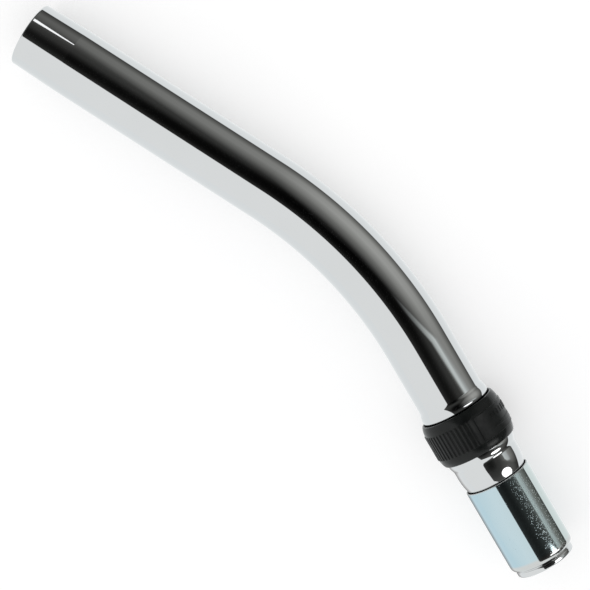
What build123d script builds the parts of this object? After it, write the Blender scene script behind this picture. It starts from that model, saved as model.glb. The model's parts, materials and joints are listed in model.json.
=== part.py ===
from build123d import *
import os
from math import acos, asin, cos, degrees, radians, sin, sqrt

# Driving dimensions, in millimetres and degrees

# Drawn steel tube: a straight wand leg, one bend and a hose leg
tube_od = 32.0
tube_wall = 1.0
bend_radius = 208.4
bend_angle = 27.9
wand_leg = 131.6
mouth_taper = 23.0
mouth_draw = 0.45
end_flat = 0.2

# Rolled beads that hold the ring, and the middle of the ring's seat from the bend
bead_height = 0.95
bead_foot = 3.3
bead_crown = 6.6
ring_seat = 45.0

# Neck drawn in to the spigot that the sleeve turns on
neck_length = 3.0
neck_draw = 2.0
shoulder_crown = 28.3
shoulder_foot = 8.0

# Tip of the spigot, flared to keep the sleeve on
flare_height = 0.5
flare_inner = 0.3
flare_foot = 0.5
tip_land = 1.75

# Swivel sleeve for the hose
sleeve_room = 1.4
sleeve_wall = 0.6
sleeve_length = 43.5
sleeve_clearance = 0.1
shoulder_clearance = 0.6
lip_radius = 2.8
lip_gap = 0.15

# Regulator ring
ring_length = 21.45
ring_wall = 3.2
ring_clearance = 0.1
ring_end_play = 2.95
ring_shift = 0.65
lead_clearance = 0.35
rim_upper = 4.5
rim_lower = 4.3
rim_edge = 0.8
rim_crown = 10.0
rim_round = 0.5
rib_count = 55
rib_height = 0.4
rib_foot = 1.45
rib_crest = 0.75
panel_sweep = 90.0
panel_middle = 71.0

# Bleed hole in the tube, and the ring's window that uncovers it
bleed_hole = 7.0
window_margin = 0.5
window_arc = 11.0
window_corner = 1.5

# Radii worked out from the driving dimensions
tube_r = tube_od / 2
mouth_r = tube_r - mouth_draw
edge_round = tube_wall - end_flat
spigot_r = tube_r - neck_draw
tip_r = spigot_r + flare_height
flare_crown = tube_wall + flare_inner
sleeve_bore_r = spigot_r + sleeve_room
sleeve_r = sleeve_bore_r + sleeve_wall
ring_bore_r = tube_r + ring_clearance
ring_body_r = ring_bore_r + ring_wall
ring_crest_r = ring_body_r + rib_height
lead_r = ring_bore_r + bead_height + lead_clearance
rim_r = lead_r + rim_edge


def step_turn(height, foot, crown):
    """Turn, in radians, of the two tangent arcs that carry a wall up or down by a height."""
    return acos(1 - height / (foot + crown))


def step_length(height, foot, crown):
    return (foot + crown) * sin(step_turn(height, foot, crown))


# Stations along the hose leg, from the end of the bend
bead_length = 2 * step_length(bead_height, bead_foot, bead_crown)
bead_spacing = ring_length + ring_end_play
upper_bead = ring_seat - bead_spacing / 2
lower_bead = ring_seat + bead_spacing / 2
ring_centre = ring_seat + ring_shift
ring_start = ring_centre - ring_length / 2
ring_end = ring_centre + ring_length / 2
band_start = ring_start + rim_upper
band_end = ring_end - rim_lower
band_length = band_end - band_start
shoulder_start = lower_bead + bead_length / 2 + neck_length
shoulder_end = shoulder_start + step_length(neck_draw, shoulder_foot, shoulder_crown)


def shoulder_station(radius):
    """Station at which the shoulder has come in to a radius."""
    turn = step_turn(neck_draw, shoulder_foot, shoulder_crown)
    drop = tube_r - radius
    if drop <= shoulder_crown * (1 - cos(turn)):
        return shoulder_start + sqrt(2 * shoulder_crown * drop - drop**2)
    rise = radius - spigot_r
    return shoulder_end - sqrt(2 * shoulder_foot * rise - rise**2)


sleeve_top = shoulder_station(sleeve_bore_r - shoulder_clearance)
sleeve_end = sleeve_top + sleeve_length
flare_start = sleeve_end + lip_gap
flare_end = flare_start + step_length(flare_height, flare_foot, flare_crown)
hose_leg = flare_end + tip_land

# The wand leg lies along x from the start of the bend, and the bend turns towards y. The hose leg is
# drawn along its own x axis, with its own y towards the bend's outer side, and then set on the bend
bend_turn = radians(bend_angle)
bend_end = Vector(-bend_radius * sin(bend_turn), bend_radius * (1 - cos(bend_turn)), 0)
hose_direction = Vector(-cos(bend_turn), sin(bend_turn), 0)
hose_plane = Plane(origin=bend_end, x_dir=hose_direction, z_dir=(0, 0, 1))


class WallLine:
    """Outline of a wall beside the x axis, drawn from left to right as lines and tangent arcs.

    An inset draws the same wall's inner face: rounds that bulge outwards shrink by it, and hollow
    rounds grow by it, so the wall keeps its thickness round every bend.
    """

    def __init__(self, radius, inset):
        self.inset = inset
        self.start = Vector(0, radius - inset)
        self.end = self.start
        self.edges = []

    def add(self, edge):
        self.edges.append(edge)
        self.end = edge @ 1

    def run_to(self, x, radius):
        self.add(Line(self.end, (x, radius - self.inset)))

    def arc(self, heading, radius, turn):
        self.add(JernArc(self.end, (cos(heading), sin(heading)), radius, degrees(turn)))

    def rise(self, height, foot, crown):
        turn = step_turn(height, foot, crown)
        self.arc(0, foot + self.inset, turn)
        self.arc(turn, crown - self.inset, -turn)

    def fall(self, height, foot, crown):
        turn = step_turn(height, foot, crown)
        self.arc(0, crown - self.inset, -turn)
        self.arc(-turn, foot + self.inset, turn)

    def bead(self, centre, radius):
        turn = step_turn(bead_height, bead_foot, bead_crown)
        self.run_to(centre - bead_length / 2, radius)
        self.arc(0, bead_foot + self.inset, turn)
        self.arc(turn, bead_crown - self.inset, -2 * turn)
        self.arc(-turn, bead_foot + self.inset, turn)


def wand_outline(inset):
    line = WallLine(tube_r, inset)
    line.run_to(wand_leg - mouth_taper, tube_r)
    line.run_to(wand_leg, mouth_r)
    return line


def hose_outline(inset):
    line = WallLine(tube_r, inset)
    line.bead(upper_bead, tube_r)
    line.bead(lower_bead, tube_r)
    line.run_to(shoulder_start, tube_r)
    line.fall(neck_draw, shoulder_foot, shoulder_crown)
    line.run_to(flare_start, spigot_r)
    line.rise(flare_height, flare_foot, flare_crown)
    line.run_to(hose_leg, tip_r)
    return line


def revolved_wall(outline):
    """The tube's wall between an outline's outer and inner face, turned about the x axis."""
    outer = outline(0)
    inner = outline(tube_wall)
    ends = [Line(outer.start, inner.start), Line(outer.end, inner.end)]
    return revolve(make_face(Wire(outer.edges + inner.edges + ends)), Axis.X)


def circle_at(solid, x, radius):
    """The solid's circular edge that is nearest to a radius at a station on the x axis."""
    circles = solid.edges().filter_by(GeomType.CIRCLE)
    return min(circles, key=lambda edge: abs(edge.arc_center.X - x) + abs(edge.radius - radius))


def make_tube():
    wand = revolved_wall(wand_outline)
    wand = fillet(circle_at(wand, wand_leg, mouth_r), edge_round)

    section = Plane.YZ * (Circle(tube_r) - Circle(tube_r - tube_wall))
    bend = revolve(section, Axis((0, bend_radius, 0), (0, 0, -1)), bend_angle)

    hose = revolved_wall(hose_outline)
    hose = fillet(circle_at(hose, hose_leg, tip_r), edge_round)
    drill = Cylinder(bleed_hole / 2, tube_od, align=(Align.CENTER, Align.CENTER, Align.MIN))
    hose -= Pos(ring_centre, 0, 0) * Rot(X=-90) * drill

    return wand + bend + hose_plane * hose


def make_sleeve():
    """Thin sleeve whose far edge is rolled in to run on the spigot, behind the flared tip."""
    lip_inner = lip_radius - sleeve_wall
    lip_centre_r = sleeve_r - lip_radius
    lip_turn = acos((spigot_r + sleeve_clearance - lip_centre_r) / lip_inner)
    lip_start = sleeve_end - lip_radius * sin(lip_turn)
    outer_run = Line((sleeve_top, sleeve_r), (lip_start, sleeve_r))
    inner_run = Line((sleeve_top, sleeve_bore_r), (lip_start, sleeve_bore_r))
    outer_lip = JernArc(outer_run @ 1, (1, 0), lip_radius, -degrees(lip_turn))
    inner_lip = JernArc(inner_run @ 1, (1, 0), lip_inner, -degrees(lip_turn))
    ends = [Line(outer_run @ 0, inner_run @ 0), Line(outer_lip @ 1, inner_lip @ 1)]
    outline = Wire([outer_run, outer_lip, inner_run, inner_lip] + ends)
    return hose_plane * revolve(make_face(outline), Axis.X)


def make_ring_body():
    """The ring without its ribs: crowned rims, and a bore with a lead over the bead at each end."""
    lead_length = bead_length / 2 + ring_shift - ring_end_play / 2
    upper_rim = RadiusArc((ring_start, rim_r), (band_start, ring_body_r), rim_crown)
    lower_rim = RadiusArc((band_end, ring_body_r), (ring_end, rim_r), rim_crown)
    band = Line(upper_rim @ 1, lower_rim @ 0)
    inside = Polyline(
        lower_rim @ 1,
        (ring_end, lead_r),
        (ring_end - lead_length, ring_bore_r),
        (ring_start + lead_length, ring_bore_r),
        (ring_start, lead_r),
        upper_rim @ 0,
    )
    body = revolve(make_face(upper_rim + band + lower_rim + inside), Axis.X)
    return fillet([circle_at(body, x, rim_r) for x in (ring_start, ring_end)], rim_round)


def band_point(radius, angle):
    """Point of the band's section at an angle from up, turning to the bend's outer side."""
    return (radius * sin(radians(angle)), radius * cos(radians(angle)))


def rib_section(angle):
    """One finger rib, with its foot sunk in the ring's wall."""
    outline = Polyline(
        (-rib_foot / 2, ring_bore_r + ring_wall / 2),
        (rib_foot / 2, ring_bore_r + ring_wall / 2),
        (rib_foot / 2, ring_body_r),
        (rib_crest / 2, ring_crest_r),
        (-rib_crest / 2, ring_crest_r),
        (-rib_foot / 2, ring_body_r),
        close=True,
    )
    return Rot(Z=-angle) * make_face(outline)


def panel_section():
    """Sector of the band that is smooth and as high as the ribs."""
    angles = [panel_middle + side * panel_sweep / 2 for side in (-1, 0, 1)]
    beyond = [band_point(2 * ring_crest_r, angle) for angle in angles]
    sector = make_face(Polyline((0, 0), *beyond, close=True))
    return (Circle(ring_crest_r) & sector) - Circle(ring_bore_r + ring_wall / 2)


def make_ring():
    pitch = 360 / rib_count
    angles = [180 + k * pitch for k in range(rib_count)]
    off_panel = [a for a in angles if abs((a - panel_middle + 180) % 360 - 180) > (panel_sweep + pitch) / 2]
    section = panel_section() + [rib_section(a) for a in off_panel]
    across = Plane(origin=(band_start, 0, 0), x_dir=(0, 1, 0), z_dir=(1, 0, 0))
    band = extrude(across * section, band_length)

    window = Rectangle(bleed_hole + 2 * window_margin, window_arc)
    window = fillet(window.vertices(), window_corner)
    cut = extrude(Pos(ring_centre, 0, 0) * window, -2 * ring_crest_r)
    return hose_plane * (make_ring_body() + band - cut)


def rest_location(pieces):
    """Roll about the wand leg until it and the ring's ribs stand on one floor, then centre the part."""
    reach = bend_end.Y + band_start * sin(bend_turn)
    spread = (ring_crest_r * sin(bend_turn)) ** 2 + reach**2
    root = sqrt((reach * tube_r) ** 2 + spread * (ring_crest_r**2 - tube_r**2))
    roll = Rot(X=degrees(asin((root - reach * tube_r) / spread)))
    box = (roll * Compound(pieces)).bounding_box()
    return Pos(-box.center().X, -box.center().Y, -box.min.Z) * roll


tube = make_tube()
ring = make_ring()
sleeve = make_sleeve()
rest = rest_location([tube, ring, sleeve])

os.makedirs("parts", exist_ok=True)
export_step(rest * tube, "parts/bent_tube.step")
export_step(rest * ring, "parts/regulator_ring.step")
export_step(rest * sleeve, "parts/swivel_sleeve.step")
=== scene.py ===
import json
from math import acos, asin, atan, ceil, cos, degrees, hypot, pi, radians, sin, tan

import bmesh
import bpy
from mathutils import Matrix, Vector


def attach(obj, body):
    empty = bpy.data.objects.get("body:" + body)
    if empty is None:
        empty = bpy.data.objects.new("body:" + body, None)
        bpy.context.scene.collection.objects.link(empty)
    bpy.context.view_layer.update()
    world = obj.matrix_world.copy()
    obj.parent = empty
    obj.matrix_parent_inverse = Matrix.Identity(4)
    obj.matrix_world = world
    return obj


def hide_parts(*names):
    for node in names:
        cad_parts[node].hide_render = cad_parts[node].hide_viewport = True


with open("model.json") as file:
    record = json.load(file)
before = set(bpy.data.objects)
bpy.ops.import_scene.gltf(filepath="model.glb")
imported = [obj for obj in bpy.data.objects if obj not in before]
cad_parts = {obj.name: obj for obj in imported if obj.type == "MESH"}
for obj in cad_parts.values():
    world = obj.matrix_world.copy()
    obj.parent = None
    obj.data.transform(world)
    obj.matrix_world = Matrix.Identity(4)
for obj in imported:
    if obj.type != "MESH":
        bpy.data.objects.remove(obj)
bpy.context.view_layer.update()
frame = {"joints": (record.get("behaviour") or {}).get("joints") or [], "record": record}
record = frame["record"]

# Sizes here are in millimetres and degrees, and MM turns them into metres
MM = 0.001


def named(rows, name):
    return next(row for row in rows if row["name"] == name)


wand_mount = named(record["mounts"], "wand_end")
hose_mount = named(record["mounts"], "hose_sleeve")
ring_joint = named(frame["joints"], "regulator_turn")
sleeve_joint = named(frame["joints"], "sleeve_swivel")

# The tube
tube_r = wand_mount["dims"]["r_mm"]
tube_wall = 1.0
bend_radius = 208.4
wand_leg = 131.6
mouth_taper = 23.0
mouth_r = tube_r - 0.45
edge_round = 0.8
bead_height = 0.95
bead_foot = 3.3
bead_crown = 6.6
neck_length = 3.0
neck_draw = 2.0
shoulder_crown = 28.3
shoulder_foot = 8.0
spigot_r = tube_r - neck_draw
flare_height = 0.5
flare_foot = 0.5
flare_crown = 1.3
tip_land = 1.75
bleed_hole_r = 3.5
tube_columns = 160
hole_columns = 48

# The ring, from its own middle
ring_length = 21.45
ring_end_play = 2.95
ring_seat = 45.0
ring_shift = 0.65
ring_bore_r = tube_r + 0.1
ring_body_r = ring_bore_r + 3.2
lead_r = ring_bore_r + bead_height + 0.35
rim_r = lead_r + 0.8
rim_upper = 4.5
rim_lower = 4.3
rim_crown = 10.0
rim_round = 0.5
rib_count = 55
rib_height = 0.4
rib_foot = 1.45
rib_crest = 0.75
rib_end = 0.22
rib_end_steps = 4
band_steps = 10
rib_pitch = 360 / rib_count
flank_steps = 5
panel_from = 26.0
panel_to = 116.0
panel_middle = (panel_from + panel_to) / 2
panel_half = (panel_to - panel_from) / 2
panel_clear = panel_half + rib_pitch / 2
panel_edge = 0.35
panel_edge_steps = (0.45, 0.35, 0.2, 0.0)
panel_steps = 60
window_length = 8.0
window_arc = 11.0
window_corner = 1.5

# The sleeve
sleeve_r = hose_mount["dims"]["r_mm"]
sleeve_wall = 0.6
sleeve_length = 43.5
lip_radius = 2.8
lip_clearance = 0.1
lip_gap = 0.15
cut_round = 0.28
pitted_turn = 44.0
sleeve_columns = 160

# How far a cutter starts from the axis, and how far it goes past the wall that it cuts
cutter_from = 5.0
cutter_past = 5.0

# Where the legs lie: each has an axis, and the bend's plane gives its up and its outer side
wand_axis = Vector(wand_mount["axis"])
hose_axis = Vector(ring_joint["axis"])
plane_up = wand_axis.cross(hose_axis).normalized()
wand_outer = plane_up.cross(-wand_axis)
hose_outer = plane_up.cross(hose_axis)
ring_middle = Vector(ring_joint["pos_m"]) / MM
sleeve_middle = Vector(sleeve_joint["pos_m"]) / MM
bend_turn = hose_axis.angle(-wand_axis)
bend_end = ring_middle - hose_axis * (ring_seat + ring_shift)
tangent_length = bend_radius * tan(bend_turn / 2)
bend_start = bend_end + (wand_axis - hose_axis) * tangent_length
bend_centre = bend_start - wand_outer * bend_radius
bend_length = bend_radius * bend_turn
mouth = bend_start + wand_axis * wand_leg


def tube_place(station):
    """Centre of the tube and its outer side, at a station from the wand mouth."""
    if station < wand_leg:
        return mouth - wand_axis * station, wand_outer
    if station > wand_leg + bend_length:
        return bend_end + hose_axis * (station - wand_leg - bend_length), hose_outer
    turn = (station - wand_leg) / bend_radius
    outer = wand_outer * cos(turn) - wand_axis * sin(turn)
    return bend_centre + outer * bend_radius, outer


def ring_place(station):
    return ring_middle + hose_axis * station, hose_outer


def sleeve_place(station):
    return sleeve_middle + hose_axis * station, hose_outer


class Outline:
    """Points of a wall's section beside its axis, drawn as runs and tangent arcs.

    An inset draws the wall's inner face: rounds that bulge outwards shrink by it, hollow ones grow.
    """

    def __init__(self, station, radius, inset=0.0, step=2.5):
        self.inset = inset
        self.step = step
        self.points = [(station, radius - inset)]

    def run_to(self, station, radius):
        """A straight run, with points close to its ends that keep the next round's shading off it."""
        close = 0.12
        x0, r0 = self.points[-1]
        x1, r1 = station, radius - self.inset
        length = hypot(x1 - x0, r1 - r0)
        near = min(close, length / 4) / length if length else 0
        count = max(1, ceil(length / self.step))
        shares = [near] + [k / count for k in range(1, count)] + [1 - near, 1]
        self.points += [(x0 + (x1 - x0) * s, r0 + (r1 - r0) * s) for s in shares]

    def arc(self, heading, radius, turn, steps=10):
        """An arc that starts with a heading, and turns away from the axis or, if negative, towards it."""
        x, r = self.points[-1]
        side = 1 if turn > 0 else -1
        cx, cr = x - side * radius * sin(heading), r + side * radius * cos(heading)
        for k in range(1, steps + 1):
            a = heading + turn * k / steps
            self.points.append((cx + side * radius * sin(a), cr - side * radius * cos(a)))

    def rise(self, height, foot, crown):
        """A step up, as a hollow round at its foot and a bulging one at its crown."""
        turn = acos(1 - height / (foot + crown))
        self.arc(0, foot + self.inset, turn)
        self.arc(turn, crown - self.inset, -turn)

    def fall(self, height, foot, crown):
        """The same step, down."""
        turn = acos(1 - height / (foot + crown))
        self.arc(0, crown - self.inset, -turn)
        self.arc(-turn, foot + self.inset, turn)

    def bead(self, centre, radius):
        self.run_to(centre - bead_length / 2, radius)
        self.rise(bead_height, bead_foot, bead_crown)
        self.fall(bead_height, bead_foot, bead_crown)


def step_length(height, foot, crown):
    """Length along the axis of a step that rises or falls."""
    return (foot + crown) * sin(acos(1 - height / (foot + crown)))


def even_angles(count):
    return [2 * pi * k / count for k in range(count)]


def lathe(name, outline, place, angles, lift=None):
    """Closed skin of an outline of (station, radius, share of the lift) points turned about its axis."""
    vertices = []
    for station, radius, share in outline:
        centre, outer = place(station)
        for angle in angles:
            r = radius + (share * lift(angle) if share else 0.0)
            vertices.append((centre + (plane_up * cos(angle) + outer * sin(angle)) * r) * MM)
    rows, columns = len(outline), len(angles)
    faces = []
    for i in range(rows):
        for j in range(columns):
            a, b = i * columns, (i + 1) % rows * columns
            k = (j + 1) % columns
            faces.append((a + j, a + k, b + k, b + j))
    return skin(name, vertices, faces)


def skin(name, vertices, faces):
    """New piece of vertices in metres, with its faces turned outwards."""
    mesh = bpy.data.meshes.new(name)
    mesh.from_pydata([tuple(v) for v in vertices], [], faces)
    work = bmesh.new()
    work.from_mesh(mesh)
    bmesh.ops.recalc_face_normals(work, faces=work.faces)
    work.to_mesh(mesh)
    work.free()
    piece = bpy.data.objects.new(name, mesh)
    bpy.context.scene.collection.objects.link(piece)
    return piece


def smooth(piece, crease=35.0):
    piece.data.shade_smooth()
    piece.data.set_sharp_from_angle(angle=radians(crease))


def prism(name, outline, origin, u, v, w, near, far):
    """Straight body of a flat outline, from near to far along w."""
    count = len(outline)
    vertices = [(origin + u * x + v * y + w * depth) * MM for depth in (near, far) for x, y in outline]
    sides = [(k, (k + 1) % count, count + (k + 1) % count, count + k) for k in range(count)]
    ends = [tuple(range(count)), tuple(range(count, 2 * count))]
    return skin(name, vertices, sides + ends)


def cut(piece, cutter):
    """Cuts a body out of a piece, and removes the cutter."""
    change = piece.modifiers.new("cut", "BOOLEAN")
    change.operation = "DIFFERENCE"
    change.solver = "EXACT"
    change.object = cutter
    bpy.context.view_layer.update()
    done = piece.evaluated_get(bpy.context.evaluated_depsgraph_get())
    mesh = bpy.data.meshes.new_from_object(done)
    piece.modifiers.clear()
    old = piece.data
    piece.data = mesh
    mesh.name = old.name
    bpy.data.meshes.remove(old)
    bpy.data.objects.remove(cutter)


# The tube's skin

bead_length = 2 * step_length(bead_height, bead_foot, bead_crown)
bead_spacing = ring_length + ring_end_play
hose_start = wand_leg + bend_length
upper_bead = hose_start + ring_seat - bead_spacing / 2
lower_bead = hose_start + ring_seat + bead_spacing / 2
shoulder_start = lower_bead + bead_length / 2 + neck_length
sleeve_end = hose_start + (sleeve_middle - bend_end).dot(hose_axis) + sleeve_length / 2
flare_start = sleeve_end + lip_gap
tip = flare_start + step_length(flare_height, flare_foot, flare_crown) + tip_land
tip_r = spigot_r + flare_height


def tube_face(inset, step):
    """The tube's outer face, or its inner one, from the wand mouth to the tip."""
    if inset:
        line = Outline(0, mouth_r, inset, step)
    else:
        line = Outline(0, mouth_r - edge_round, step=step)
        line.arc(pi / 2, edge_round, -pi / 2, steps=6)
    line.run_to(mouth_taper, tube_r)
    line.run_to(wand_leg, tube_r)
    line.run_to(hose_start, tube_r)
    line.bead(upper_bead, tube_r)
    line.bead(lower_bead, tube_r)
    line.run_to(shoulder_start, tube_r)
    line.fall(neck_draw, shoulder_foot, shoulder_crown)
    line.run_to(flare_start, spigot_r)
    line.rise(flare_height, flare_foot, flare_crown)
    if inset:
        line.run_to(tip, tip_r)
    else:
        line.run_to(tip - edge_round, tip_r)
        line.arc(0, edge_round, -pi / 2, steps=6)
    return line.points


def make_tube():
    """The tube's wall, chromed outside and bare inside, with the bleed hole under the ring."""
    outside = tube_face(inset=0.0, step=1.7)
    inside = tube_face(inset=tube_wall, step=3.4)
    outline = [(x, r, 0) for x, r in outside + inside[::-1]]
    piece = lathe("chromed_tube", outline, tube_place, even_angles(tube_columns))
    for face in piece.data.polygons:
        face.material_index = 1 if face.index // tube_columns >= len(outside) else 0
    hole = [(bleed_hole_r * cos(a), bleed_hole_r * sin(a)) for a in even_angles(hole_columns)]
    far = tube_r + cutter_past
    drill = prism("drill", hole, ring_middle, hose_axis, plane_up, hose_outer, cutter_from, far)
    cut(piece, drill)
    smooth(piece)
    return piece


# The ring's skin

lead_length = bead_length / 2 + ring_shift - ring_end_play / 2


def rim_headings(length):
    """Slope of a rim's crown where it meets the end's round and where it meets the band."""
    drop = ring_body_r - rim_r
    chord = hypot(length, drop)
    at_band = atan(drop / length) - asin(chord / 2 / rim_crown)
    at_end = asin((length - rim_round + rim_crown * sin(at_band)) / (rim_crown - rim_round))
    return at_end, at_band


def rim_points(length):
    """A rim from its end face to the band, with the end at station 0."""
    at_end, at_band = rim_headings(length)
    fall = rim_round * cos(at_end) + rim_crown * (cos(at_band) - cos(at_end))
    line = Outline(0, ring_body_r - fall)
    line.arc(pi / 2, rim_round, at_end - pi / 2, steps=6)
    line.arc(at_end, rim_crown, at_band - at_end, steps=12)
    return line.points


def ring_outline():
    """The ring's section: upper rim, band with the ribs' share, lower rim and bore."""
    half = ring_length / 2
    upper = [(x - half, r, 0) for x, r in rim_points(rim_upper)]
    lower = [(half - x, r, 0) for x, r in rim_points(rim_lower)][::-1]
    band_from, band_to = rim_upper - half, half - rim_lower
    shares = [k / rib_end_steps for k in range(1, rib_end_steps + 1)]
    ramp = [(rib_end * share, 0.5 - 0.5 * cos(pi * share)) for share in shares]
    rise = [(band_from + x, ring_body_r, share) for x, share in ramp]
    fall = [(band_to - x, ring_body_r, share) for x, share in ramp[::-1]]
    length = band_to - band_from - 2 * rib_end
    steps = [length * k / band_steps for k in range(1, band_steps)]
    middle = [(band_from + rib_end + step, ring_body_r, 1) for step in steps]
    bore = [
        (half, lead_r, 0),
        (half - lead_length, ring_bore_r, 0),
        (0, ring_bore_r, 0),
        (lead_length - half, ring_bore_r, 0),
        (-half, lead_r, 0),
    ]
    return upper + rise + middle + fall + lower + bore


def off_panel(turn):
    """Degrees between a turn and the panel's middle."""
    return abs((turn - panel_middle + 180) % 360 - 180)


def rib_lift(angle):
    """Height of the ribs or of the smooth panel at an angle from up."""
    turn = degrees(angle) % 360
    into_panel = min(turn - panel_from, panel_to - turn)
    panel = min(1.0, max(0.0, into_panel / panel_edge + 1.0))
    nearest = round((turn - 180) / rib_pitch) * rib_pitch + 180
    away = abs(turn - nearest) * pi / 180 * ring_body_r
    slope = (rib_foot - rib_crest) / 2
    rib = min(1.0, max(0.0, (rib_foot / 2 - away) / slope))
    rib = rib * rib * (3 - 2 * rib)
    if off_panel(nearest) < panel_clear:
        rib = 0.0
    return rib_height * max(panel, rib)


def ring_angles():
    """Angles that catch each rib's foot, flank and crest, with plain steps over the panel."""
    foot = degrees(rib_foot / 2 / ring_body_r)
    crest = degrees(rib_crest / 2 / ring_body_r)
    flank = [crest + (foot - crest) * k / flank_steps for k in range(flank_steps + 1)]
    offsets = sorted([-a for a in flank] + flank + [0.0])
    turns = []
    for k in range(rib_count):
        rib = 180 + k * rib_pitch
        if off_panel(rib) >= panel_clear:
            turns += [(rib + a) % 360 for a in offsets]
    turns += [panel_from - step for step in panel_edge_steps]
    turns += [panel_to + step for step in panel_edge_steps]
    turns += [panel_from + k * 2 * panel_half / panel_steps for k in range(1, panel_steps)]
    return [radians(t) for t in sorted(turns)]


def rounded_rectangle(width, height, corner, steps=6):
    points = []
    for quarter, (sx, sy) in enumerate([(1, 1), (-1, 1), (-1, -1), (1, -1)]):
        cx, cy = sx * (width / 2 - corner), sy * (height / 2 - corner)
        for k in range(steps + 1):
            a = (quarter + k / steps) * pi / 2
            points.append((cx + corner * cos(a), cy + corner * sin(a)))
    return points


def make_ring():
    """The ribbed ring, with the window that lets air in."""
    piece = lathe("regulator_grip", ring_outline(), ring_place, ring_angles(), rib_lift)
    window = rounded_rectangle(window_length, window_arc, window_corner)
    far = ring_body_r + cutter_past
    cutter = prism("cutter", window, ring_middle, hose_axis, hose_outer, -plane_up, cutter_from, far)
    cut(piece, cutter)
    smooth(piece, crease=40.0)
    return piece


# Raised marks on the ring's panel: a wedge that shows which way lets in more air, and a row of ticks

panel_r = ring_body_r + rib_height
mark_height = 0.22
mark_sink = 0.15
mark_bevel = 0.12
wedge_from = 50
wedge_sweep = 48
wedge_steps = 24
wedge_station = 2.9
wedge_thin = 0.35
wedge_growth = 1.15
tick_count = 7
tick_from = 52
tick_pitch = 7.5
tick_half = 1.35
tick_station = -2.4
tick_short = 1.1
tick_growth = 0.12


def raised(name, angles, low, high):
    """Raised mark on the panel between two edges, each a station for every angle."""
    levels = [(-mark_sink, 0.0), (mark_height - mark_bevel, 0.0), (mark_height, mark_bevel)]
    vertices = []
    for k, angle in enumerate(angles):
        ends = (k == 0) - (k == len(angles) - 1)
        for side, edge in ((1, low[k]), (-1, high[k])):
            for height, inward in levels:
                turn = radians(angle) + ends * inward / panel_r
                centre, outer = ring_place(edge + side * inward)
                r = panel_r + height
                vertices.append((centre + (plane_up * cos(turn) + outer * sin(turn)) * r) * MM)
    loop = [0, 1, 2, 5, 4, 3]
    faces = []
    for k in range(len(angles) - 1):
        for m in range(6):
            a, b = loop[m], loop[(m + 1) % 6]
            faces.append((k * 6 + a, k * 6 + b, (k + 1) * 6 + b, (k + 1) * 6 + a))
    last = (len(angles) - 1) * 6
    faces.append(tuple(loop))
    faces.append(tuple(last + m for m in loop))
    return skin(name, vertices, faces)


def make_marks():
    """The wedge and the ticks, joined to one piece."""
    shares = range(wedge_steps + 1)
    turns = [wedge_from + wedge_sweep * k / wedge_steps for k in shares]
    halves = [wedge_thin + wedge_growth * k / wedge_steps for k in shares]
    low, high = [wedge_station - w for w in halves], [wedge_station + w for w in halves]
    marks = [raised("mark_wedge", turns, low, high)]
    for k in range(tick_count):
        turn = tick_from + tick_pitch * k
        tall = tick_short + tick_growth * k
        turns = [turn - tick_half, turn, turn + tick_half]
        low, high = [tick_station - tall] * 3, [tick_station + tall] * 3
        marks.append(raised("mark_tick", turns, low, high))
    for mark in marks:
        smooth(mark)
    first = marks[0]
    with bpy.context.temp_override(active_object=first, selected_editable_objects=marks):
        bpy.ops.object.join()
    first.name = "regulator_marks"
    return first


# The sleeve's skin

def make_sleeve():
    """The thin sleeve, with its lower edge rolled in to the spigot."""
    half = sleeve_length / 2
    inner_lip = lip_radius - sleeve_wall
    lip_turn = acos((spigot_r + lip_clearance - sleeve_r + lip_radius) / inner_lip)
    lip_start = half - lip_radius * sin(lip_turn)
    outside = Outline(-half, sleeve_r - cut_round, step=2.0)
    outside.arc(pi / 2, cut_round, -pi / 2, steps=4)
    outside.run_to(lip_start, sleeve_r)
    outside.arc(0, lip_radius, -lip_turn, steps=14)
    inside = Outline(-half, sleeve_r - sleeve_wall, step=6.0)
    inside.run_to(lip_start, sleeve_r - sleeve_wall)
    inside.arc(0, inner_lip, -lip_turn, steps=8)
    outline = [(x, r, 0) for x, r in outside.points + inside.points[::-1]]
    piece = lathe("hose_sleeve", outline, sleeve_place, even_angles(sleeve_columns))
    smooth(piece)
    return piece


# Materials

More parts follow.
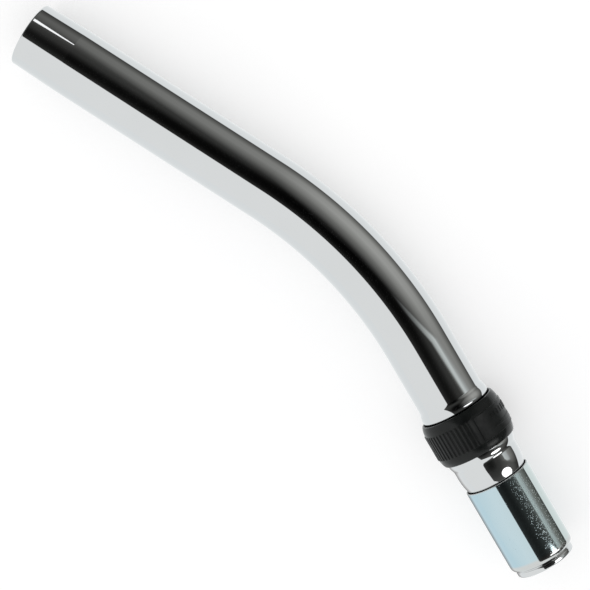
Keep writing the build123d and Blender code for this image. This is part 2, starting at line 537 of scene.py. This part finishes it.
class Nodes:
    """Short form for adding nodes to a tree and linking them."""

    def __init__(self, tree):
        self.tree = tree
        tree.nodes.clear()

    def add(self, kind, inputs=None, **settings):
        made = self.tree.nodes.new(kind)
        for key, value in settings.items():
            setattr(made, key, value)
        for key, value in (inputs or {}).items():
            self.set(made.inputs[key], value)
        return made

    def set(self, socket, value):
        if isinstance(value, bpy.types.NodeSocket):
            self.tree.links.new(value, socket)
        else:
            socket.default_value = value

    def math(self, operation, a, b=0.0, c=0.0):
        return self.add("ShaderNodeMath", {0: a, 1: b, 2: c}, operation=operation).outputs[0]

    def dot(self, vector, direction):
        made = self.add("ShaderNodeVectorMath", {0: vector, 1: tuple(direction)}, operation="DOT_PRODUCT")
        return made.outputs["Value"]

    def ranged(self, value, low, high, to_low=0.0, to_high=1.0, kind="SMOOTHSTEP"):
        inputs = {"Value": value, "From Min": low, "From Max": high, "To Min": to_low, "To Max": to_high}
        return self.add("ShaderNodeMapRange", inputs, interpolation_type=kind).outputs["Result"]

    def noise(self, vector, scale, detail=2.0, roughness=0.5):
        inputs = {"Vector": vector, "Scale": scale, "Detail": detail, "Roughness": roughness}
        return self.add("ShaderNodeTexNoise", inputs).outputs["Fac"]

    def ramp(self, value, stops):
        made = self.add("ShaderNodeValToRGB", {"Fac": value})
        stop_row = made.color_ramp.elements
        while len(stop_row) < len(stops):
            stop_row.new(0.5)
        for stop, (place, colour) in zip(stop_row, stops):
            stop.position = place
            stop.color = (*colour, 1.0)
        return made.outputs["Color"]

    def blend(self, share, a, b):
        made = self.add("ShaderNodeMix", data_type="RGBA")
        self.set(made.inputs["Factor"], share)
        self.set(made.inputs[6], a)
        self.set(made.inputs[7], b)
        return made.outputs[2]

    def bump(self, height, distance, strength=1.0, normal=None):
        inputs = {"Height": height, "Distance": distance, "Strength": strength}
        if normal is not None:
            inputs["Normal"] = normal
        return self.add("ShaderNodeBump", inputs).outputs["Normal"]

    def beside(self, place, middle, way, reach):
        """How far a place lies from a middle, along a direction, as a share of a reach in millimetres."""
        shift = self.math("SUBTRACT", self.dot(place, way), middle.dot(way) * MM)
        return self.math("DIVIDE", shift, reach * MM)

    def stretched(self, along, around):
        """Place on the hose leg, with a scale along its axis and another across it."""
        place = self.add("ShaderNodeTexCoord").outputs["Object"]
        parts = [(hose_axis, along), (hose_outer, around), (plane_up, around)]
        sides = [self.math("MULTIPLY", self.dot(place, way), scale) for way, scale in parts]
        made = self.add("ShaderNodeCombineXYZ", {"X": sides[0], "Y": sides[1], "Z": sides[2]})
        return made.outputs["Vector"]


def material(name):
    made = bpy.data.materials.new(name)
    made.use_nodes = True
    return made, Nodes(made.node_tree)


def finish_with(nodes, **inputs):
    shader = nodes.add("ShaderNodeBsdfPrincipled", {k.replace("_", " "): v for k, v in inputs.items()})
    nodes.add("ShaderNodeOutputMaterial", {"Surface": shader.outputs["BSDF"]})


def chrome():
    """Bright plate over a drawn tube: a faint wave and haze."""
    made, nodes = material("chrome_plate")
    place = nodes.add("ShaderNodeTexCoord").outputs["Object"]
    cloud = nodes.noise(place, 26.0, 3.0)
    fine = nodes.noise(place, 900.0, 2.0)
    colour = nodes.blend(cloud, (0.655, 0.67, 0.675, 1), (0.70, 0.71, 0.72, 1))
    haze = nodes.ranged(nodes.noise(place, 60.0, 4.0, 0.6), 0.35, 0.75, 0.02, 0.05)
    wave = nodes.bump(nodes.noise(place, 22.0, 1.0), 0.00005, 0.5)
    grain = nodes.bump(fine, 0.0000012, 0.5, wave)
    finish_with(nodes, Base_Color=colour, Metallic=1.0, Roughness=haze, Normal=grain)
    return made


def bare_steel():
    """Dull, patchy steel inside the tube."""
    made, nodes = material("bare_steel_bore")
    place = nodes.add("ShaderNodeTexCoord").outputs["Object"]
    cloud = nodes.noise(place, 90.0, 5.0, 0.6)
    colour = nodes.ramp(cloud, [(0.25, (0.13, 0.125, 0.12)), (0.75, (0.27, 0.265, 0.26))])
    rough = nodes.ranged(cloud, 0.2, 0.8, 0.32, 0.52)
    grain = nodes.bump(nodes.noise(place, 1400.0, 2.0), 0.00001, 0.6)
    finish_with(nodes, Base_Color=colour, Metallic=1.0, Roughness=rough, Normal=grain)
    return made


def zinc():
    """Blue-passivated zinc plate: paler to one side in a painted tint that stands in for the film's
    change of colour with the viewing angle, worn bare at the lip and dull on its cut edge, with a patch
    of fine pits along the side that gets knocked, and a few strays."""
    made, nodes = material("zinc_plate")
    place = nodes.add("ShaderNodeTexCoord").outputs["Object"]
    side = nodes.beside(place, sleeve_middle, hose_outer, sleeve_r)
    along = nodes.beside(place, sleeve_middle, hose_axis, sleeve_length / 2)
    cloud = nodes.noise(nodes.stretched(25.0, 60.0), 1.0, 4.0, 0.55)
    # Painted tint: the colour goes from blue to a paler cream across the sleeve by side, in place of the
    # film's colour change with the viewing angle, with the cloud's random tone on top
    painted_side_tint_and_cloud = nodes.math("ADD", side, nodes.ranged(cloud, 0.2, 0.8, -0.3, 0.3, "LINEAR"))
    plate_tone_and_painted_tint = nodes.ramp(nodes.ranged(painted_side_tint_and_cloud, -1.0, 1.0, kind="LINEAR"), [
        (0.1, (0.46, 0.62, 0.69)),
        (0.45, (0.54, 0.67, 0.72)),
        (0.8, (0.53, 0.64, 0.66)),
        (0.95, (0.60, 0.67, 0.66)),
    ])
    cut_edge = nodes.ranged(along, -0.985, -0.995)
    worn = nodes.math("MAXIMUM", nodes.ranged(along, 0.8, 0.88), cut_edge)
    colour = nodes.blend(worn, plate_tone_and_painted_tint, (0.62, 0.635, 0.63, 1))
    scuff = nodes.noise(nodes.stretched(2300.0, 800.0), 1.0, 2.0, 0.6)
    grain = nodes.bump(scuff, 0.000006, 0.6)
    pitted_way = plane_up * cos(radians(pitted_turn)) + hose_outer * sin(radians(pitted_turn))
    facing = nodes.beside(place, sleeve_middle, pitted_way, sleeve_r)
    patch = nodes.ranged(facing, 0.925, 0.99)
    cells = nodes.add("ShaderNodeTexVoronoi", {"Vector": place, "Scale": 2100.0})
    shares = nodes.add("ShaderNodeSeparateColor", {"Color": cells.outputs["Color"]})
    dense = nodes.math("MULTIPLY", nodes.ranged(shares.outputs["Red"], 0.55, 0.8), patch)
    stray = nodes.ranged(shares.outputs["Red"], 0.992, 0.996)
    depth = nodes.math("MAXIMUM", dense, stray)
    pits = nodes.math("MULTIPLY", nodes.ranged(cells.outputs["Distance"], 0.1, 0.4, 1.0, 0.0), depth)
    pitted = nodes.bump(pits, 0.00012, 1.0, grain)
    rough = nodes.math("MULTIPLY_ADD", cut_edge, 0.35, nodes.ranged(cloud, 0.3, 0.8, 0.03, 0.075))
    metal = nodes.ranged(cut_edge, 0.0, 1.0, 1.0, 0.6)
    finish_with(nodes, Base_Color=colour, Metallic=metal, Roughness=rough, Normal=pitted)
    return made


def black_plastic():
    """Moulded plastic with a fine grain on the band, and smoother rims."""
    made, nodes = material("black_plastic")
    place = nodes.add("ShaderNodeTexCoord").outputs["Object"]
    cloud = nodes.noise(place, 160.0, 4.0, 0.6)
    colour = nodes.ramp(cloud, [(0.3, (0.0036, 0.0044, 0.0042)), (0.7, (0.0075, 0.0088, 0.0084))])
    band_middle = ring_middle + hose_axis * (rim_upper - rim_lower) / 2
    band_half = (ring_length - rim_upper - rim_lower) / 2
    along = nodes.math("ABSOLUTE", nodes.beside(place, band_middle, hose_axis, band_half))
    rim = nodes.ranged(along, 0.95, 1.1)
    worn = nodes.ranged(nodes.noise(place, 420.0, 3.0), 0.3, 0.7, 0.29, 0.4)
    rough = nodes.math("MULTIPLY_ADD", rim, -0.1, worn)
    grain = nodes.bump(nodes.noise(place, 2600.0, 2.0), 0.000014, 0.5)
    finish_with(nodes, Base_Color=colour, Roughness=rough, Specular_IOR_Level=0.27, Normal=grain)
    return made


# Pieces, each riding on its body in place of its CAD node

tube = make_tube()
ring = make_ring()
marks = make_marks()
sleeve = make_sleeve()

plating = chrome()
plastic = black_plastic()
tube.data.materials.clear()
tube.data.materials.append(plating)
tube.data.materials.append(bare_steel())
for piece in (ring, marks):
    piece.data.materials.clear()
    piece.data.materials.append(plastic)
sleeve.data.materials.append(zinc())

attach(tube, "tube")
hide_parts("bent_tube")
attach(ring, "ring")
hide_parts("regulator_ring")
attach(marks, "ring")
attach(sleeve, "sleeve")
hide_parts("swivel_sleeve")

# Camera: it looks down on the bend, from its outer side, so that both legs dip away a little, and
# has the tube as it stands in the photograph's 590 by 590 frame

image_size = 590
focal_px = 2200.0
mouth_px = (29.9, 33.9)
mouth_depth = 1020.3
wand_slope = radians(32.77)
view_up, view_aside, view_along = 0.9558, 0.2913, -0.041

view_back = (plane_up * view_up + wand_outer * view_aside + wand_axis * view_along).normalized()
along_wand = (view_back * wand_axis.dot(view_back) - wand_axis).normalized()
beside_wand = view_back.cross(along_wand)
image_right = along_wand * cos(wand_slope) + beside_wand * sin(wand_slope)
image_down = along_wand * sin(wand_slope) - beside_wand * cos(wand_slope)
across = (image_size / 2 - mouth_px[0]) / focal_px
down = (image_size / 2 - mouth_px[1]) / focal_px

camera_data = bpy.data.cameras.new("camera")
camera_data.sensor_width = 36.0
camera_data.lens = focal_px / image_size * camera_data.sensor_width
camera = bpy.data.objects.new("camera", camera_data)
bpy.context.scene.collection.objects.link(camera)
camera.matrix_world = Matrix((image_right, -image_down, view_back)).transposed().to_4x4()
camera.location = (mouth + (view_back + image_right * across + image_down * down) * mouth_depth) * MM
bpy.context.scene.camera = camera


def image_way(right, down, near):
    """Direction given by how far it goes right and down in the image, and towards the camera."""
    return (image_right * right + image_down * down + view_back * near).normalized()


# Floor and studio light: white on one side and dark on the other, as chrome is lit

def shown_share(nodes):
    """1 for what is seen straight or in a reflection or through glass, 0 for what only lights."""
    path = nodes.add("ShaderNodeLightPath")
    seen = nodes.math("MAXIMUM", path.outputs["Is Camera Ray"], path.outputs["Is Glossy Ray"])
    return nodes.math("MAXIMUM", seen, path.outputs["Is Transmission Ray"])


def make_floor():
    """Round white table: a pale paper that takes the shadow, and a glow where it is seen."""
    radius = 450.0
    columns = 96
    edge = [Vector((radius * cos(a), radius * sin(a), 0)) * MM for a in even_angles(columns)]
    piece = skin("floor", edge, [tuple(range(columns))])
    made, nodes = material("white_table")
    place = nodes.add("ShaderNodeTexCoord").outputs["Object"]
    cloud = nodes.noise(place, 6.0, 2.0)
    paper = nodes.ramp(cloud, [(0.3, (0.545, 0.545, 0.55)), (0.7, (0.57, 0.57, 0.57))])
    diffuse = nodes.add("ShaderNodeBsdfDiffuse", {"Color": paper}).outputs["BSDF"]
    glow_strength = nodes.math("MULTIPLY", shown_share(nodes), 0.48)
    glow = nodes.add("ShaderNodeEmission", {"Strength": glow_strength}).outputs["Emission"]
    both = nodes.add("ShaderNodeAddShader", {0: diffuse, 1: glow}).outputs["Shader"]
    nodes.add("ShaderNodeOutputMaterial", {"Surface": both})
    piece.data.materials.append(made)
    piece.visible_glossy = False


def make_card(name, corners, shade):
    """Flat card seen in reflections only, with a shade from dark at 0 to white at 1, or brighter."""
    piece = skin(name, [corner * MM for corner in corners], [tuple(range(len(corners)))])
    made, nodes = material(name)
    strength = shade(nodes) if callable(shade) else shade
    glow = nodes.add("ShaderNodeEmission", {"Strength": strength}).outputs["Emission"]
    nodes.add("ShaderNodeOutputMaterial", {"Surface": glow})
    piece.data.materials.append(made)
    piece.visible_camera = False
    piece.visible_diffuse = False
    piece.visible_shadow = False


def make_far_lamp():
    """Lamp beyond the mouth that tapers to a point, so that its streak on the wand does too."""
    way = image_way(0.20, -0.735, 0.65)
    distance = 1200
    to_point, to_base, half_base = 20, 60, 122
    strength = 1.4
    hit = mouth + way * distance
    onward = -wand_axis
    beside = way.cross(onward).normalized()
    base = hit - onward * to_base
    corners = [hit + onward * to_point, base + beside * half_base, base - beside * half_base]
    make_card("lamp_far", corners, strength)


def make_oval_lamp(name, station, way, distance, half_across, half_along, strength):
    """Oval lamp near the hose leg, set off from the tube's near side at a station, with its size given
    across and along the leg."""
    spot = tube_place(station)[0] + view_back * tube_r
    across_leg = way.cross(hose_axis).normalized()
    along_leg = across_leg.cross(way)
    centre = spot + way * distance
    columns = 48
    sides = [(half_across * cos(a), half_along * sin(a)) for a in even_angles(columns)]
    make_card(name, [centre + across_leg * x + along_leg * y for x, y in sides], strength)


def make_shadow_card():
    """Shade on the table beside the hose end, which darkens its limb."""
    outward = view_back.cross(hose_axis).normalized()
    if outward.dot(image_right) > 0:
        outward = -outward
    from_ring, to_tip = 14, 95
    below, inward, reach_out = 8, 6, 26
    start, end = ring_middle + hose_axis * from_ring, ring_middle + hose_axis * to_tip
    under = -view_back * (tube_r + below)
    near, far = outward * (tube_r - inward), outward * (tube_r + reach_out)
    corners = [start + near + under, end + near + under, end + far + under, start + far + under]

    def shade(nodes):
        place = nodes.add("ShaderNodeTexCoord").outputs["Object"]
        reach = nodes.beside(place, ring_middle + outward * tube_r, outward, reach_out)
        return nodes.ranged(reach, -0.1, 1.0, 0.1, 0.9, "LINEAR")

    make_card("shadow_card", corners, shade)


def make_world():
    """White light all round, and a studio that only reflections see: a softbox and a dark side."""
    world = bpy.data.worlds.new("studio")
    bpy.context.scene.world = world
    world.use_nodes = True
    nodes = Nodes(world.node_tree)
    way = nodes.add("ShaderNodeTexCoord").outputs["Generated"]
    height = nodes.dot(way, view_back)
    hoseward = nodes.ranged(nodes.dot(way, hose_axis), 0.6, 1.0, 0.0, 0.88, "LINEAR")
    leftward = nodes.math("ADD", hoseward, nodes.dot(way, image_way(-1, 1, 0)))
    softbox = nodes.ranged(leftward, 0.415, 0.435)
    below = nodes.ranged(height, -0.30, -0.25, 1.0, 0.0)

    # The dark side: a grey wall that fades upwards and to both sides
    wall = nodes.ramp(nodes.ranged(height, -0.25, 1.0, kind="LINEAR"), [
        (0.0, (0.10, 0.10, 0.095)),
        (0.16, (0.235, 0.235, 0.222)),
        (0.24, (0.315, 0.315, 0.298)),
        (0.35, (0.42, 0.42, 0.40)),
        (0.56, (0.45, 0.45, 0.43)),
        (0.76, (0.30, 0.30, 0.285)),
        (0.84, (0.20, 0.20, 0.19)),
        (0.91, (0.125, 0.125, 0.119)),
        (0.976, (0.019, 0.019, 0.018)),
        (1.0, (0.005, 0.005, 0.005)),
    ])
    bright_side = nodes.dot(way, image_way(0.766, -0.643, 0))

    # How far a direction leans from straight up, kept above nothing so that it can divide
    flat = nodes.math("SQRT", nodes.math("SUBTRACT", 1.0001, nodes.math("MULTIPLY", height, height)))
    toward = nodes.ranged(nodes.math("DIVIDE", bright_side, flat), 0.83, 1.0, 0.25, 1.0, "LINEAR")
    toward = nodes.math("MAXIMUM", toward, nodes.ranged(height, 0.8, 0.9, 0.25, 0.3))
    dark_side = nodes.blend(toward, (0, 0, 0, 1), wall)

    # A pale upright strip on that wall
    lean = nodes.ranged(height, 0.45, 0.62, 0.035, 0.0)
    spread = nodes.ranged(height, 0.45, 0.62, 2.0, 1.0)
    beyond = nodes.math("SUBTRACT", nodes.dot(way, image_way(0.305, 0.949, -0.081)), lean)
    off_strip = nodes.math("DIVIDE", nodes.math("ABSOLUTE", beyond), spread)
    on_right = nodes.ranged(nodes.dot(way, image_right), 0.25, 0.4)
    above = nodes.math("MULTIPLY", on_right, nodes.ranged(height, 0.16, 0.36))
    strip = nodes.math("MULTIPLY", nodes.ranged(off_strip, 0.012, 0.042, 1.0, 0.0), above)
    pale = nodes.ramp(nodes.ranged(height, 0.2, 1.0, kind="LINEAR"), [
        (0.0, (0.42, 0.44, 0.44)),
        (0.5, (0.68, 0.72, 0.71)),
        (0.74, (0.40, 0.42, 0.41)),
        (0.86, (0.20, 0.21, 0.205)),
        (0.97, (0.03, 0.03, 0.03)),
    ])
    dark_side = nodes.blend(strip, dark_side, pale)

    lit_side = nodes.blend(softbox, dark_side, (0.98, 0.99, 0.985, 1))
    studio = nodes.blend(below, lit_side, (0.96, 0.985, 0.99, 1))
    path = nodes.add("ShaderNodeLightPath")
    seen = nodes.blend(path.outputs["Is Glossy Ray"], (1, 1, 1, 1), studio)
    glow = nodes.add("ShaderNodeBackground", {"Color": seen, "Strength": 1.0})
    nodes.add("ShaderNodeOutputWorld", {"Surface": glow.outputs["Background"]})


make_floor()
make_world()
make_far_lamp()
make_oval_lamp(
    "lamp_neck", shoulder_start + 6, image_way(0.805, 0.248, 0.54),
    distance=225, half_across=75, half_along=39, strength=2.5,
)
make_oval_lamp(
    "lamp_ring", upper_bead, image_way(0.73, 0.06, 0.68),
    distance=70, half_across=23, half_along=5.5, strength=2.0,
)
make_shadow_card()

bpy.context.scene.view_settings.view_transform = "Standard"
